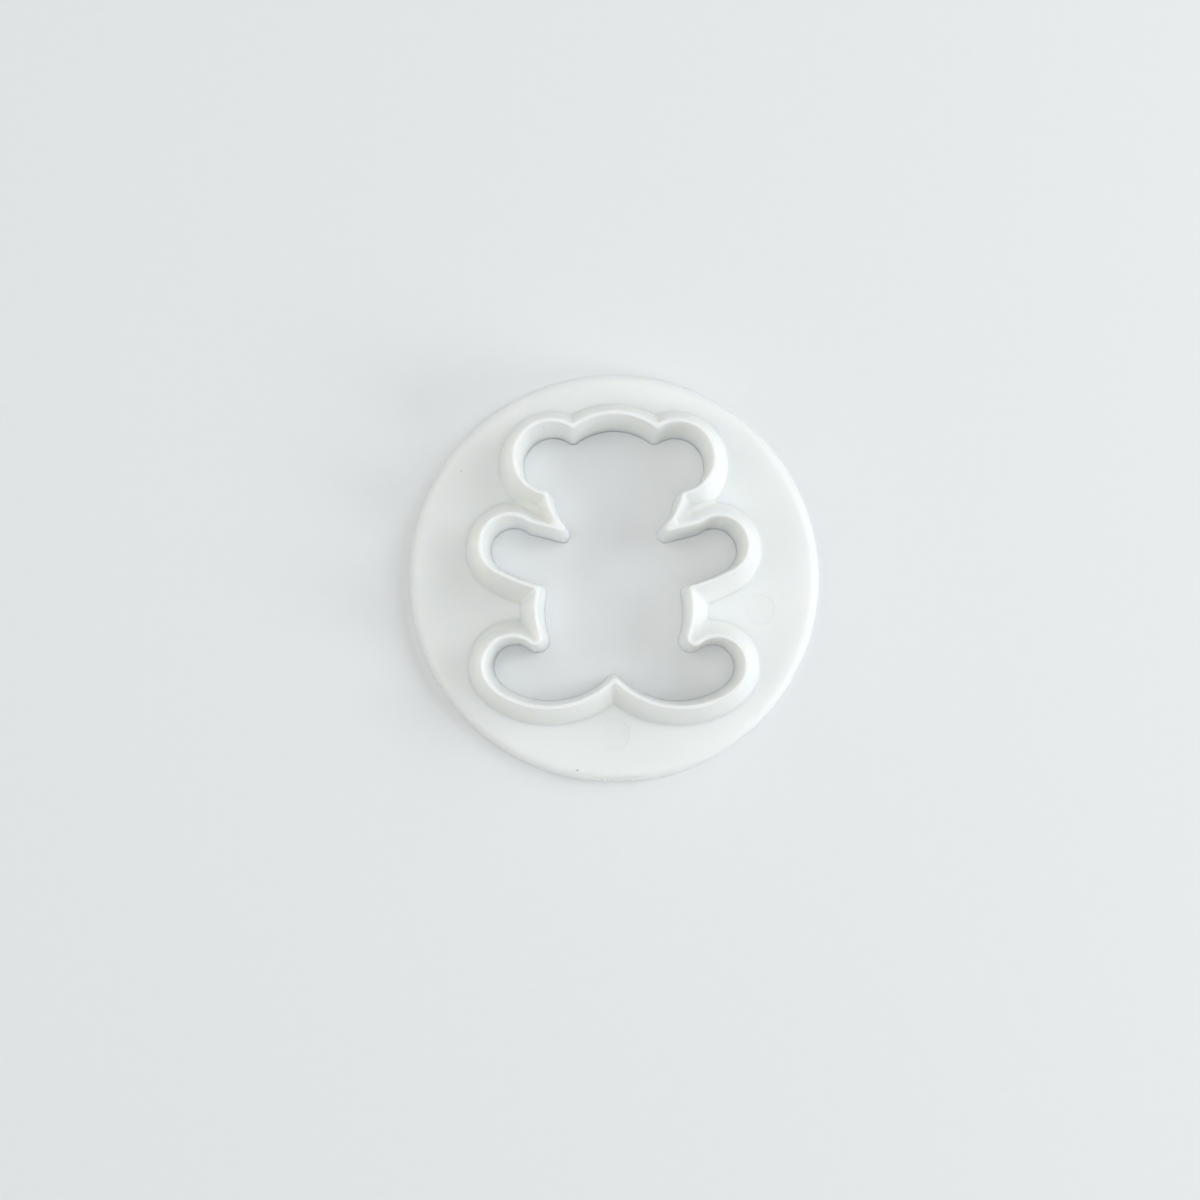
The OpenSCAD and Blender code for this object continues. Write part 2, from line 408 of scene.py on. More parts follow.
# %% Inner side and rim
RIM_Z = 9.5
RIM_WIDTH = 0.6
RIM_EDGE = 0.16
INNER_DRAFT = 0.7
VALLEY_RADIUS = 0.5
INNER_HEIGHTS = (0, 2, 4, 6, 8)
RIM_STEPS = 4


def quarter(step, steps):
    """The angle of one step along a quarter of a circle."""
    return math.radians(90 * step / steps)


def blend(one, other, share):
    return [a.lerp(b, share) for a, b in zip(one, other)]


def inner_level(z):
    grown = -INNER_DRAFT * (RIM_Z - z) / RIM_Z
    return outline(grown, TIP_RADIUS - grown)


def rim_edge(side, land):
    """Levels from one side of the wall round its edge to the land."""
    edge_levels = []
    for step in range(RIM_STEPS + 1):
        turn = quarter(step, RIM_STEPS)
        inwards = RIM_EDGE * (1 - math.cos(turn)) / (RIM_WIDTH / 2)
        z = RIM_Z - RIM_EDGE * (1 - math.sin(turn))
        edge_levels.append((z, blend(side, land, inwards)))
    return edge_levels


inner = [(z, inner_level(z)) for z in (*INNER_HEIGHTS, RIM_Z - RIM_EDGE)]
land = outline(RIM_WIDTH / 2, (TIP_RADIUS + VALLEY_RADIUS) / 2)
outer = outline(RIM_WIDTH, VALLEY_RADIUS)
levels = inner + rim_edge(inner[-1][1], land)[1:] + rim_edge(outer, land)[::-1]
print("levels up to the rim's outer edge", len(levels))

# %% [markdown]
# Outside, the wall spreads by 2.1 mm on its way down and ends in a fillet, so
# that the thin wall doesn't break off its flange. The notches between the
# lobes close step by step here, which takes more levels than a plain slope.

# %% Outer side and fillet
FLANGE_Z = 2.6
OUTER_SPREAD = 2.1
ROOT_RADIUS = 0.5
OUTER_STEPS = 24
ROOT_STEPS = 8
OUTER_FOOT = RIM_WIDTH + OUTER_SPREAD


def outer_side():
    """Levels from the rim's outer edge down to where the fillet begins."""
    top = RIM_Z - RIM_EDGE
    low = FLANGE_Z + ROOT_RADIUS
    side = []
    for step in range(1, OUTER_STEPS + 1):
        share = step / OUTER_STEPS
        grown = RIM_WIDTH + OUTER_SPREAD * share
        side.append((top + (low - top) * share, outline(grown, VALLEY_RADIUS)))
    return side


def root_fillet():
    """Levels round the fillet, from the wall out to the flange."""
    fillet = []
    for step in range(1, ROOT_STEPS + 1):
        turn = quarter(step, ROOT_STEPS)
        grown = OUTER_FOOT + ROOT_RADIUS * (1 - math.cos(turn))
        z = FLANGE_Z + ROOT_RADIUS * (1 - math.sin(turn))
        fillet.append((z, outline(grown, VALLEY_RADIUS)))
    return fillet


levels += outer_side() + root_fillet()
print("levels in all", len(levels))

# %% [markdown]
# The flange is what the palm presses. Its upper edge is rolled over a large
# radius, and at its lower side it has the short flat where the plastic came
# in. A cylinder with a bevel could make the roll, but not the flat that dies
# out on it, so the edge is a stack of rings too. The scar's roughness is drawn
# from numbers with a fixed seed, and it only goes inwards.

# %% Rings with the gate's flat
RING_POINTS = 360
FLAT_WIDTH = 6.8
FLAT_MARGIN = 0.2
FLAT_LEAN = 0.5
SCAR_DEPTH = 0.12
SCAR_SEED = 7
flat_y = -math.sqrt(FLANGE_RADIUS**2 - FLAT_WIDTH**2 / 4)
rough = random.Random(SCAR_SEED)
scar = [rough.uniform(0.0, SCAR_DEPTH) for _ in range(RING_POINTS)]


def ring(radius, roughness=0.0):
    """A circle round the flange, cut flat where the moulding gate was."""
    points = []
    for i in range(RING_POINTS):
        point = radius * direction(90 + 360 * i / RING_POINTS)
        limit = flat_y + (FLANGE_RADIUS - radius) * FLAT_LEAN + roughness * scar[i]
        if abs(point.x) < FLAT_WIDTH / 2 + FLAT_MARGIN and point.y < limit:
            point.y = limit
        points.append(point)
    return points


lowest = min(p.y for p in ring(FLANGE_RADIUS))
print("flat at y", round(flat_y, 2), "mm, lowest point of a ring", round(lowest, 2))

# %% [markdown]
# The rings follow the roll in equal turns of its arc. Equal heights would be
# simpler, but they would leave the flat start of the roll with too few rings.
# Below the roll the scar dies out, so that the flange lies on the table with a
# clean edge.

# %% The flange's edge
FLANGE_EDGE = 1.6
EDGE_STEPS = 12
EDGE_ROUGHNESS = 0.6
LOWER_HEIGHTS = (0.6, 0.2, 0)
LOWER_ROUGHNESS = (0.3, 0, 0)


def flange_rings():
    """Pairs of height and ring, from the flat top over the edge to the underside."""
    rings = [(FLANGE_Z, ring(FLANGE_RADIUS - FLANGE_EDGE))]
    for step in range(1, EDGE_STEPS + 1):
        turn = quarter(step, EDGE_STEPS)
        radius = FLANGE_RADIUS - FLANGE_EDGE * (1 - math.sin(turn))
        z = FLANGE_Z - FLANGE_EDGE * (1 - math.cos(turn))
        rings.append((z, ring(radius, EDGE_ROUGHNESS)))
    for z, roughness in zip(LOWER_HEIGHTS, LOWER_ROUGHNESS):
        rings.append((z, ring(FLANGE_RADIUS, roughness)))
    return rings


edge_rings = flange_rings()
print("rings round the flange", len(edge_rings))

# %% [markdown]
# Where the mould's pins pushed the moulding out, they left faint round marks.
# Two of them can be seen on the flange. A bump in the material could paint
# them, but the exported mesh would lose it, so each is a real step: an upper
# circle, a lower circle, and a floor with a point in its middle.

# %% Ejector marks
MARKS = [(21.4, -5.0), (0.0, -23.2)]
MARK_RADIUS = 2.2
MARK_DEPTH = 0.08
MARK_SLOPE = 0.08
MARK_FLOOR_RADIUS = 1.4
MARK_POINTS = 48


def circle(middle, radius, number):
    return [middle + radius * direction(360 * i / number) for i in range(number)]


def mark_loops():
    """Loops and their heights: a faint step down and a flat floor."""
    floor = FLANGE_Z - MARK_DEPTH
    loops = []
    for mark in MARKS:
        middle = Vector(mark)
        loops.append((circle(middle, MARK_RADIUS + MARK_SLOPE, MARK_POINTS), FLANGE_Z))
        loops.append((circle(middle, MARK_RADIUS, MARK_POINTS), floor))
        loops.append((circle(middle, MARK_FLOOR_RADIUS, MARK_POINTS), floor))
        loops.append(([middle], floor))
    return loops


print("loops for the marks", len(mark_loops()))

# %% [markdown]
# Levels and rings are joined by strips of four-sided faces. The bridge tool
# could do that too, but it looks for partners by itself, and here point number
# one always belongs to point number one.

# %% Strips
def add_loop(mesh, z, points):
    return [mesh.verts.new((p.x * MM, p.y * MM, z * MM)) for p in points]


def skin(mesh, one, other):
    """A strip of faces between two loops with the same number of vertices."""
    number = len(one)
    for i in range(number):
        j = (i + 1) % number
        mesh.faces.new((one[i], one[j], other[j], other[i]))


def skin_all(mesh, stack):
    """Loops of vertices for a stack of levels, joined by strips."""
    loops = [add_loop(mesh, z, points) for z, points in stack]
    for one, other in zip(loops, loops[1:]):
        skin(mesh, one, other)
    return loops


print("faces in the wall's strips", (len(levels) - 1) * len(rim_outline))

# %% [markdown]
# The flange's flat faces have the bear's outline as a hole and the ejector
# marks as steps. A fan or an n-gon would make poor triangles there, so a
# triangulation is used that keeps every outline as an edge. It also fills the
# hole, and those faces are left out again.

# %% Flat faces
MERGE_DISTANCE = 1e-6


def inside(point, polygon):
    """True where a line to the right crosses the polygon an odd number of times."""
    crossings = 0
    for a, b in zip(polygon, polygon[1:] + polygon[:1]):
        if (a.y > point.y) != (b.y > point.y):
            crossings += point.x < a.x + (point.y - a.y) * (b.x - a.x) / (b.y - a.y)
    return crossings % 2 == 1


def fill(mesh, borders, hole, extra=(), down=False):
    """Triangles between two closed loops of vertices, with extra loops inside."""
    loops = [([Vector((v.co.x / MM, v.co.y / MM)) for v in border], border) for border in borders]
    loops += [(points, add_loop(mesh, z, points)) for points, z in extra]
    points = []
    verts = []
    edges = []
    for loop_points, loop_verts in loops:
        base = len(points)
        number = len(loop_points)
        points += loop_points
        verts += loop_verts
        if number > 1:
            edges += [(base + i, base + (i + 1) % number) for i in range(number)]
    flat, _, faces, origin, _, _ = delaunay_2d_cdt(points, edges, [], 0, MERGE_DISTANCE)
    for face in faces:
        middle = sum((flat[i] for i in face), Vector((0, 0))) / len(face)
        if inside(middle, hole):
            continue
        corners = [verts[origin[i][0]] for i in face]
        mesh.faces.new(corners[::-1] if down else corners)


print("the head's middle is inside the rim:", inside(centre(HEAD), rim_outline))

# %% [markdown]
# Edges that the mould has as corners stay sharp, and all others are shaded
# smooth. A modifier could sort them by their angle at the end, but the exported
# mesh is plain, so the edges are marked in the mesh itself.

# %% Shading and objects
SHARP_ANGLE = 38


def shade(mesh):
    """Smooth faces, with the corners of the mould kept sharp."""
    for face in mesh.faces:
        face.smooth = True
    for line in mesh.edges:
        if len(line.link_faces) == 2 and line.calc_face_angle(0) > math.radians(SHARP_ANGLE):
            line.smooth = False


def add_object(name, mesh):
    """A finished mesh as an object of the scene, at the origin and unturned."""
    data = bpy.data.meshes.new(name)
    mesh.to_mesh(data)
    mesh.free()
    piece = bpy.data.objects.new(name, data)
    scene.collection.objects.link(piece)
    return piece


print("edges that turn by more than", SHARP_ANGLE, "degrees stay sharp")

# %% [markdown]
# Everything is put into one closed mesh, as the real moulding is one piece.
# Separate meshes for wall and flange would show a seam at the fillet. A narrow
# strip beside the fillet and beside the roll keeps their shading from running
# out over the flat. At the end no edge may be open.

# %% Building the moulding
BESIDE_ROOT = 0.12
BESIDE_EDGE = 0.15


def moulding():
    """The whole cutter as one closed mesh."""
    mesh = bmesh.new()
    wall = skin_all(mesh, levels)
    rings = skin_all(mesh, edge_rings)
    root_outline = outline(OUTER_FOOT + ROOT_RADIUS + BESIDE_ROOT, VALLEY_RADIUS)
    beside_root = add_loop(mesh, FLANGE_Z, root_outline)
    skin(mesh, wall[-1], beside_root)
    beside_edge = add_loop(mesh, FLANGE_Z, ring(FLANGE_RADIUS - FLANGE_EDGE - BESIDE_EDGE))
    skin(mesh, beside_edge, rings[0])
    fill(mesh, [beside_root, beside_edge], root_outline, mark_loops())
    fill(mesh, [wall[0], rings[-1]], levels[0][1], down=True)
    bmesh.ops.recalc_face_normals(mesh, faces=mesh.faces)
    shade(mesh)
    open_edges = sum(1 for line in mesh.edges if len(line.link_faces) != 2)
    print("moulding faces", len(mesh.faces), "open edges", open_edges)
    return mesh


cutter = add_object("bear_cutter", moulding())

# %% [markdown]
# Materials, the light of the room and the crumbs are all node trees. They
# could be clicked together, but then nobody sees what is set where. Three
# helpers add a node, set or link one of its inputs, and do a sum.

# %% Helpers for node trees
def add_node(tree, kind, **settings):
    node = tree.nodes.new(kind)
    for key, value in settings.items():
        setattr(node, key, value)
    return node


def put(tree, value, socket):
    """Set a number or colour on a socket, or link another node's output to it."""
    if isinstance(value, bpy.types.NodeSocket):
        tree.links.new(value, socket)
    else:
        socket.default_value = value


def calculate(tree, operation, one, other):
    """The result of a Math node. Each value is a number or a node's output."""
    node = add_node(tree, "ShaderNodeMath", operation=operation)
    put(tree, one, node.inputs[0])
    put(tree, other, node.inputs[1])
    return node.outputs[0]


print("helpers", [helper.__name__ for helper in (add_node, put, calculate)])

# %% [markdown]
# A plastic surface is never quite even. Pictures could paint that, but they
# would need an unwrapped mesh. So patterns are worked out from each point's
# place on the piece, which is the same in every view and in the export.

# %% Patterns for the surfaces
def new_material(name):
    """A material, its tree and shader, and each point's place on the piece."""
    material = bpy.data.materials.new(name)
    material.use_nodes = True
    tree = material.node_tree
    place = add_node(tree, "ShaderNodeTexCoord").outputs["Object"]
    return material, tree, tree.nodes["Principled BSDF"], place


def noise(tree, place, scale, detail):
    node = add_node(tree, "ShaderNodeTexNoise")
    put(tree, scale, node.inputs["Scale"])
    put(tree, detail, node.inputs["Detail"])
    put(tree, place, node.inputs["Vector"])
    return node.outputs["Fac"]


def between(tree, factor, one, other):
    """A colour between two others."""
    node = add_node(tree, "ShaderNodeMix", data_type="RGBA")
    put(tree, factor, node.inputs["Factor"])
    put(tree, one, node.inputs["A"])
    put(tree, other, node.inputs["B"])
    return node.outputs["Result"]


TINT_SCALE = 60
GLOSS_SCALE = 220
BUMP_SCALE = 2500
for name, scale in (("tint", TINT_SCALE), ("gloss", GLOSS_SCALE), ("bump", BUMP_SCALE)):
    print(name, "changes about every", round(1 / scale / MM, 1), "mm")

# %% [markdown]
# A few tiny grains of dust lie on the moulding, as on anything white. They
# could be small meshes, but they are flat and a quarter of a millimetre wide.
# A cell pattern has one middle in each cell: a point near it is inside a
# grain, and the cell's random colour keeps only the rare ones.

# %% Dust
DUST_CELLS = 400
DUST_RADIUS = 0.05
DUST_RARE = 0.85
DUST = (0.3, 0.28, 0.25, 1)


def specks(tree, place):
    """One inside a few tiny grains of dark dust, nought elsewhere."""
    cells = add_node(tree, "ShaderNodeTexVoronoi")
    put(tree, DUST_CELLS, cells.inputs["Scale"])
    put(tree, place, cells.inputs["Vector"])
    close = calculate(tree, "LESS_THAN", cells.outputs["Distance"], DUST_RADIUS)
    parts = add_node(tree, "ShaderNodeSeparateColor")
    put(tree, cells.outputs["Color"], parts.inputs["Color"])
    rare = calculate(tree, "GREATER_THAN", parts.outputs[0], DUST_RARE)
    return calculate(tree, "MULTIPLY", close, rare)


print("a grain is at most", round(2 * DUST_RADIUS / DUST_CELLS / MM, 2), "mm across")

# %% [markdown]
# The mould's face is spark-eroded, and its plastic copy is satin. One even
# roughness would look like paint, so a slow noise moves it a little, and a
# very fine bump stands for the eroded face. A real displacement would be finer
# than the mesh can hold.

# %% Satin face
ROUGHNESS_LOW = 0.36
ROUGHNESS_HIGH = 0.5
BUMP_STRENGTH = 0.25
BUMP_DEPTH = 0.00002


def uneven_gloss(tree, place):
    node = add_node(tree, "ShaderNodeMapRange")
    put(tree, ROUGHNESS_LOW, node.inputs["To Min"])
    put(tree, ROUGHNESS_HIGH, node.inputs["To Max"])
    put(tree, noise(tree, place, GLOSS_SCALE, 2), node.inputs["Value"])
    return node.outputs["Result"]


def eroded_face(tree, place):
    node = add_node(tree, "ShaderNodeBump")
    put(tree, BUMP_STRENGTH, node.inputs["Strength"])
    put(tree, BUMP_DEPTH, node.inputs["Distance"])
    put(tree, noise(tree, place, BUMP_SCALE, 3), node.inputs["Height"])
    return node.outputs["Normal"]


print("roughness", ROUGHNESS_LOW, "to", ROUGHNESS_HIGH)

# %% [markdown]
# White polypropylene or similar is a little translucent, so that the thin wall
# glows where light falls on its far side. A mixed-in translucent shader could
# fake that, but subsurface scattering with a reach of a few millimetres
# follows the wall's real thickness. The dust lies on top of the tint.

# %% White plastic
PLASTIC_IOR = 1.49
GLOW_REACH = 0.0035
GLOW_COLOURS = (1.0, 0.92, 0.75)
PLASTIC_DARK = (0.815, 0.828, 0.819, 1)
PLASTIC_PALE = (0.845, 0.858, 0.849, 1)


def white_plastic():
    material, tree, shader, place = new_material("white_plastic")
    shader.inputs["IOR"].default_value = PLASTIC_IOR
    shader.inputs["Subsurface Weight"].default_value = 1.0
    shader.inputs["Subsurface Radius"].default_value = GLOW_COLOURS
    shader.inputs["Subsurface Scale"].default_value = GLOW_REACH
    tint = between(tree, noise(tree, place, TINT_SCALE, 3), PLASTIC_DARK, PLASTIC_PALE)
    put(tree, between(tree, specks(tree, place), tint, DUST), shader.inputs["Base Color"])
    put(tree, uneven_gloss(tree, place), shader.inputs["Roughness"])
    put(tree, eroded_face(tree, place), shader.inputs["Normal"])
    return material


cutter.data.materials.append(white_plastic())
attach(cutter, "root")
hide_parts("cutter")
print("cutter dressed in", cutter.data.materials[0].name)

# %% [markdown]
# Where the moulding was torn off its gate, small crumbs of plastic are left.
# They are too small to let light through, and rougher than the mould's face,
# so they get a plain material of their own instead of a copy of the other.

# %% Torn plastic
TORN_DARK = (0.8, 0.81, 0.8, 1)
TORN_PALE = (0.86, 0.87, 0.86, 1)
TORN_SCALE = 3000
TORN_ROUGHNESS = 0.6


def torn_plastic():
    material, tree, shader, place = new_material("torn_plastic")
    tint = between(tree, noise(tree, place, TORN_SCALE, 2), TORN_DARK, TORN_PALE)
    put(tree, tint, shader.inputs["Base Color"])
    shader.inputs["Roughness"].default_value = TORN_ROUGHNESS
    return material


torn = torn_plastic()
print(torn.name, "has", len(torn.node_tree.nodes), "nodes")

# %% [markdown]
# The crumbs could be modelled one by one, but they repeat along an arc, so a
# node tree sets them: an arc, points on it with a random offset, a small ball
# on each, turned and sized at random. All random numbers come from one fixed
# seed, so the same crumbs come out each time.

# %% Points for the crumbs
CRUMB_OFFSET_LOW = (-0.0002, -0.00005, -0.0001)
CRUMB_OFFSET_HIGH = (0.0002, 0.0001, 0.00004)


def random_vector(tree, low, high, seed, extra):
    """A random vector for each point. Extra is added to the tree's seed."""
    node = add_node(tree, "FunctionNodeRandomValue", data_type="FLOAT_VECTOR")
    sockets = [s for s in node.inputs if s.enabled]
    put(tree, low, sockets[0])
    put(tree, high, sockets[1])
    put(tree, calculate(tree, "ADD", seed, extra), node.inputs["Seed"])
    return next(s for s in node.outputs if s.enabled)


def crumb_points(tree, given):
    """Points along the gate's flat, each a little off its arc."""
    half_angle = given["Half angle"]
    arc = add_node(tree, "GeometryNodeCurveArc", mode="RADIUS")
    put(tree, given["Arc radius"], arc.inputs["Radius"])
    put(tree, calculate(tree, "SUBTRACT", -math.pi / 2, half_angle), arc.inputs["Start Angle"])
    put(tree, calculate(tree, "MULTIPLY", half_angle, 2), arc.inputs["Sweep Angle"])
    points = add_node(tree, "GeometryNodeCurveToPoints", mode="COUNT")
    put(tree, arc.outputs["Curve"], points.inputs["Curve"])
    put(tree, given["Crumbs"], points.inputs["Count"])
    rise = add_node(tree, "ShaderNodeCombineXYZ")
    put(tree, given["Height"], rise.inputs["Z"])
    shift = add_node(tree, "ShaderNodeVectorMath", operation="ADD")
    put(tree, rise.outputs[0], shift.inputs[0])
    offset = random_vector(tree, CRUMB_OFFSET_LOW, CRUMB_OFFSET_HIGH, given["Seed"], 1)
    put(tree, offset, shift.inputs[1])
    moved = add_node(tree, "GeometryNodeSetPosition")
    put(tree, points.outputs["Points"], moved.inputs["Geometry"])
    put(tree, shift.outputs[0], moved.inputs["Offset"])
    return moved.outputs["Geometry"]


print("a crumb lies up to", CRUMB_OFFSET_HIGH[0] / MM, "mm to either side of its place")

# %% [markdown]
# A torn crumb is longer than it is thick. One small ball with few faces is
# enough, because its stretch and its turn differ from crumb to crumb.

# %% A crumb on each point
CRUMB_TURN = (0.4, 0.4, 0.5)
CRUMB_LEAST = (0.6, 0.4, 0.4)
CRUMB_MOST = (2.6, 1.0, 1.1)


def crumbs_on(tree, given, points):
    """One ball for each point, turned and stretched at random."""
    crumb = add_node(tree, "GeometryNodeMeshIcoSphere")
    put(tree, 2, crumb.inputs["Subdivisions"])
    put(tree, given["Crumb radius"], crumb.inputs["Radius"])
    sown = add_node(tree, "GeometryNodeInstanceOnPoints")
    put(tree, points, sown.inputs["Points"])
    put(tree, crumb.outputs["Mesh"], sown.inputs["Instance"])
    least_turn = tuple(-turn for turn in CRUMB_TURN)
    put(tree, random_vector(tree, least_turn, CRUMB_TURN, given["Seed"], 2), sown.inputs["Rotation"])
    put(tree, random_vector(tree, CRUMB_LEAST, CRUMB_MOST, given["Seed"], 3), sown.inputs["Scale"])
    return sown.outputs["Instances"]


print("a crumb is stretched", CRUMB_LEAST[0], "to", CRUMB_MOST[0], "times")

# %% [markdown]
# The tree's sizes are named inputs, so they can be changed without opening it.
# A modifier finds an input by its identifier and not by its name, so each
# value is kept under its identifier. The tree ends with Realize Instances and
# Set Material, because instances are dropped when the model is exported.

# %% The tree for the crumbs
CRUMB_INSET = 0.53
CRUMB_HEIGHT = 2.15
CRUMB_COUNT = 26
CRUMB_RADIUS = 0.2
CRUMB_SEED = 5
CRUMB_INPUTS = [
    ("Arc radius", "NodeSocketFloat", (FLANGE_RADIUS - CRUMB_INSET) * MM),
    ("Half angle", "NodeSocketFloat", math.asin(FLAT_WIDTH / 2 / FLANGE_RADIUS)),
    ("Height", "NodeSocketFloat", CRUMB_HEIGHT * MM),
    ("Crumbs", "NodeSocketInt", CRUMB_COUNT),
    ("Crumb radius", "NodeSocketFloat", CRUMB_RADIUS * MM),
    ("Seed", "NodeSocketInt", CRUMB_SEED),
    ("Plastic", "NodeSocketMaterial", torn),
]


def crumb_tree():
    """The tree, and each input's value by its identifier."""
    tree = bpy.data.node_groups.new("gate_crumbs", "GeometryNodeTree")
    values = {}
    for name, kind, value in CRUMB_INPUTS:
        socket = tree.interface.new_socket(name, in_out="INPUT", socket_type=kind)
        socket.default_value = value
        values[socket.identifier] = value
    tree.interface.new_socket("Geometry", in_out="OUTPUT", socket_type="NodeSocketGeometry")
    given = add_node(tree, "NodeGroupInput").outputs
    sown = crumbs_on(tree, given, crumb_points(tree, given))
    real = add_node(tree, "GeometryNodeRealizeInstances")
    put(tree, sown, real.inputs["Geometry"])
    finish = add_node(tree, "GeometryNodeSetMaterial")
    put(tree, real.outputs["Geometry"], finish.inputs["Geometry"])
    put(tree, given["Plastic"], finish.inputs["Material"])
    result = add_node(tree, "NodeGroupOutput")
    put(tree, finish.outputs["Geometry"], result.inputs["Geometry"])
    return tree, values


crumbs_tree, crumb_values = crumb_tree()
print("inputs", [name for name, _, _ in CRUMB_INPUTS], "nodes", len(crumbs_tree.nodes))

# %% [markdown]
# The crumbs are part of the moulding, so they ride with it. The modifier could
# stay live, but the export wants finished meshes. So the tree is run once on
# an empty holder, its result is kept as a plain mesh, and the holder goes.

# %% Baking the crumbs
def bake_tree(name, tree, values):
    """Run the tree once and keep its result as a plain mesh object."""
    holder = bpy.data.objects.new(name + "_holder", bpy.data.meshes.new(name + "_holder"))
    scene.collection.objects.link(holder)
    modifier = holder.modifiers.new("tree", "NODES")
    modifier.node_group = tree
    for identifier, value in values.items():
        modifier[identifier] = value
    ready = holder.evaluated_get(bpy.context.evaluated_depsgraph_get())
    data = bpy.data.meshes.new_from_object(ready)
    bpy.data.objects.remove(holder)
    data.name = name
    piece = bpy.data.objects.new(name, data)
    scene.collection.objects.link(piece)
    return piece


crumbs = bake_tree("gate_crumbs", crumbs_tree, crumb_values)
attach(crumbs, "root")
corner = [round(min(v.co[k] for v in crumbs.data.vertices) / MM, 3) for k in range(3)]
print("crumb faces", len(crumbs.data.polygons), "lowest corner", corner)

# %% [markdown]
# Seen from the side, the table would end in a dark horizon. A bent backdrop
# could hide it, but it would throw light back on the cutter. So there is one
# plain colour that the room has behind everything, and only rays that are
# seen directly, in a mirror or through glass, meet it. The light on the
# cutter stays as it is.

# %% Backdrop
BACKDROP = (0.745, 0.775, 0.785, 1)


def seen_directly(tree):
    """One for camera, mirror and glass rays, nought for the light itself."""
    path = add_node(tree, "ShaderNodeLightPath")
    total = path.outputs["Is Camera Ray"]
    for name in ("Is Glossy Ray", "Is Transmission Ray"):
        total = calculate(tree, "MAXIMUM", total, path.outputs[name])
    return total


def mix_shaders(tree, factor, one, other):
    mix = add_node(tree, "ShaderNodeMixShader")
    put(tree, factor, mix.inputs["Fac"])
    put(tree, one, mix.inputs[1])
    put(tree, other, mix.inputs[2])
    return mix.outputs["Shader"]


print("backdrop colour", BACKDROP[:3])

# %% [markdown]
# Well outside the photograph the table turns into the backdrop. A sharp edge
# would be seen as a line, so the share of the backdrop grows slowly with the
# distance from the cutter.

# %% Fade into the backdrop
FADE_FROM = 0.13
FADE_TO = 0.3


def far_away(tree, place):
    """Nought near the cutter, one beyond the distance where the fade ends."""
    distance = add_node(tree, "ShaderNodeVectorMath", operation="LENGTH")
    put(tree, place, distance.inputs[0])
    fade = add_node(tree, "ShaderNodeMapRange", interpolation_type="SMOOTHSTEP")
    put(tree, FADE_FROM, fade.inputs["From Min"])
    put(tree, FADE_TO, fade.inputs["From Max"])
    put(tree, distance.outputs["Value"], fade.inputs["Value"])
    return fade.outputs["Result"]


print("the table fades from", FADE_FROM, "to", FADE_TO, "m")

# %% [markdown]
# The table is a plain pale surface with a hardly visible grain. It fills the
# picture, so its colour sets the tone of the whole photograph. A picture of a
# table could be laid on it, but it would repeat, and a noise doesn't.

# %% Table
TABLE_HALF = 1.5
TABLE_DARK = (0.787, 0.799, 0.818, 1)
TABLE_PALE = (0.807, 0.819, 0.838, 1)
TABLE_GRAIN = 500
TABLE_ROUGHNESS = 0.7
TABLE_SPECULAR = 0.2


def pale_table():
    material, tree, shader, place = new_material("pale_table")
    shader.inputs["Roughness"].default_value = TABLE_ROUGHNESS
    shader.inputs["Specular IOR Level"].default_value = TABLE_SPECULAR
    tone = between(tree, noise(tree, place, TABLE_GRAIN, 3), TABLE_DARK, TABLE_PALE)
    put(tree, tone, shader.inputs["Base Color"])
    far = add_node(tree, "ShaderNodeEmission")
    put(tree, BACKDROP, far.inputs["Color"])
    share = calculate(tree, "MULTIPLY", far_away(tree, place), seen_directly(tree))
    surface = mix_shaders(tree, share, shader.outputs["BSDF"], far.outputs["Emission"])
    put(tree, surface, tree.nodes["Material Output"].inputs["Surface"])
    return material


table_mesh = bmesh.new()
bmesh.ops.create_grid(table_mesh, x_segments=1, y_segments=1, size=TABLE_HALF)
table = add_object("table", table_mesh)
table.data.materials.append(pale_table())
print("table", 2 * TABLE_HALF, "m wide")

# %% [markdown]
# Part of the light comes from all round, from a room with pale walls. A sky
# texture could give it, but it would bring its own horizon, so the world has
# one even colour for the light and the backdrop's colour for the eye.

# %% Light from the room
ROOM_STRENGTH = 0.32
ROOM_COLOUR = (0.98, 1.0, 0.99, 1)


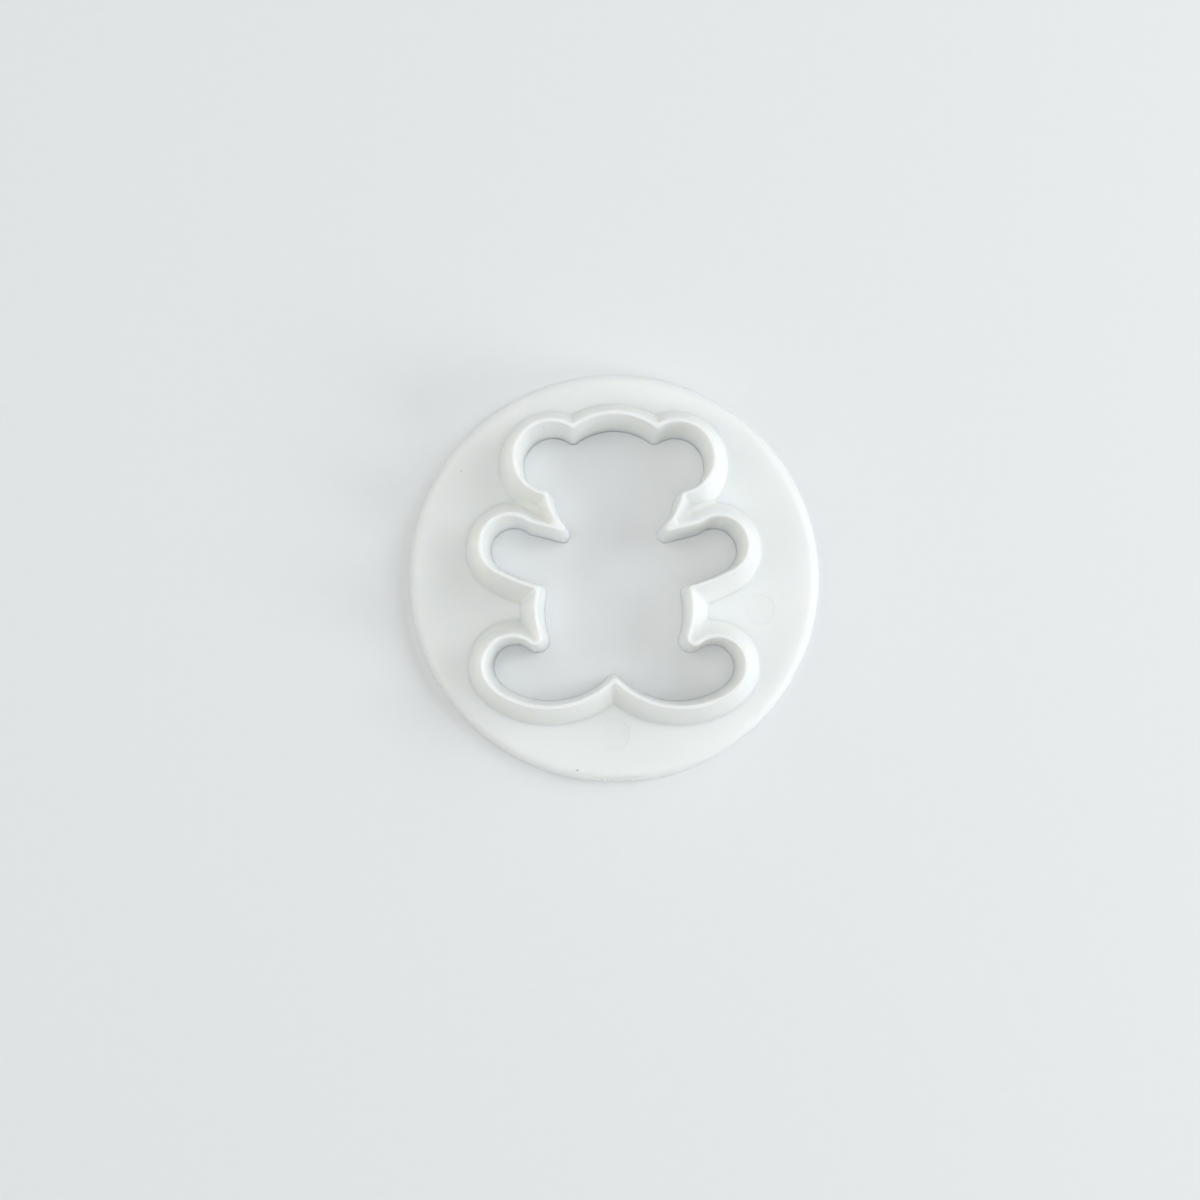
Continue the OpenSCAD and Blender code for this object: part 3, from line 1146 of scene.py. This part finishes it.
def room_light():
    """Even light from all round. The camera and reflections see the backdrop."""
    world = bpy.data.worlds.new("room")
    scene.world = world
    world.use_nodes = True
    tree = world.node_tree
    even = tree.nodes["Background"]
    put(tree, ROOM_COLOUR, even.inputs["Color"])
    put(tree, ROOM_STRENGTH, even.inputs["Strength"])
    pale = add_node(tree, "ShaderNodeBackground")
    put(tree, BACKDROP, pale.inputs["Color"])
    seen = seen_directly(tree)
    surface = mix_shaders(tree, seen, even.outputs["Background"], pale.outputs["Background"])
    put(tree, surface, tree.nodes["World Output"].inputs["Surface"])


room_light()
print("room light", ROOM_STRENGTH)

# %% [markdown]
# Most of the light comes from a broad window on the right, which makes the
# faint shadow on the left and the bright band on the flange's right edge. A
# window is not one lamp but four here, side by side and above each other. Each
# makes its own soft shadow, and together they blur it as a window does. The
# ceiling and the walls give light back, a little warmer than the daylight.

# %% Lamps
LAMP_DISTANCE = 0.9
DAYLIGHT = (0.96, 1.0, 1.03)
WALL_LIGHT = (1.0, 1.0, 0.95)


def soft_light(name, azimuth, elevation, size, power, colour):
    """A square lamp that looks at the cutter from the given direction."""
    data = bpy.data.lights.new(name, "AREA")
    data.shape = "SQUARE"
    data.size = size
    data.energy = power
    data.color = colour
    lamp = bpy.data.objects.new(name, data)
    flat = math.cos(math.radians(elevation))
    lamp.location = (
        LAMP_DISTANCE * flat * math.cos(math.radians(azimuth)),
        LAMP_DISTANCE * flat * math.sin(math.radians(azimuth)),
        LAMP_DISTANCE * math.sin(math.radians(elevation)),
    )
    lamp.rotation_euler = lamp.location.to_track_quat("Z", "Y").to_euler()
    scene.collection.objects.link(lamp)


soft_light("window_low", 15, 25, 0.35, 0.7, DAYLIGHT)
soft_light("window_high", 15, 38, 0.4, 1.7, DAYLIGHT)
soft_light("window_near", -25, 20, 0.3, 2.5, DAYLIGHT)
soft_light("window_far", 50, 30, 0.4, 0.65, DAYLIGHT)
soft_light("ceiling", 0, 89, 0.6, 2.0, WALL_LIGHT)
soft_light("left_wall", 195, 40, 0.5, 1.3, WALL_LIGHT)
soft_light("upper_wall", 150, 35, 0.5, 0.75, WALL_LIGHT)
lamps = [o for o in scene.objects if o.type == "LIGHT"]
print("lamps", len(lamps), "with", round(sum(o.data.energy for o in lamps), 2), "W together")

# %% [markdown]
# The picture is shown as the light falls, with no film look over it.

# %% Picture settings
scene.view_settings.view_transform = "Standard"
